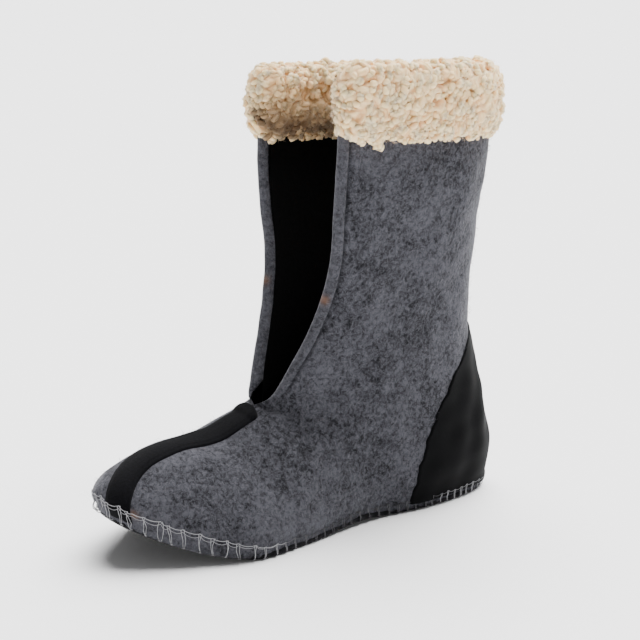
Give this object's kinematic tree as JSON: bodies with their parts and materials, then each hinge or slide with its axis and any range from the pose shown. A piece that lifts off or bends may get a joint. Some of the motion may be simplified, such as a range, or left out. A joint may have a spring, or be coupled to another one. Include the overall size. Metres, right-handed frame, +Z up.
{
  "type": "felt inner boot",
  "caption": "Thick grey felt inner boot for a snow boot, open at the front, with a cream pile cuff rolled over the collar, a black toe strip, a nylon heel patch and a sewn sole.",
  "frame": {"origin": "on the floor under the middle of the whole boot's box", "axes": "+Z up, -Y toward the toe, +X toward the wearer's left, the inner side of this right foot"},
  "size_m": [0.1195, 0.2861, 0.2864],
  "materials": {
    "dark_felt": "matt dark needled felt, worn edge",
    "grey_felt": "matt heather grey wool felt with short fuzz",
    "black_tape": "matt black knit tape",
    "black_nylon": "smooth black woven nylon with a soft sheen",
    "cream_pile": "cream curly pile in small locks"
  },
  "bodies": {
    "root": {"sole": "dark_felt", "upper": "grey_felt", "vamp_strip": "black_tape", "heel_patch": "black_nylon", "cuff": "cream_pile"}
  },
  "joints": []
}
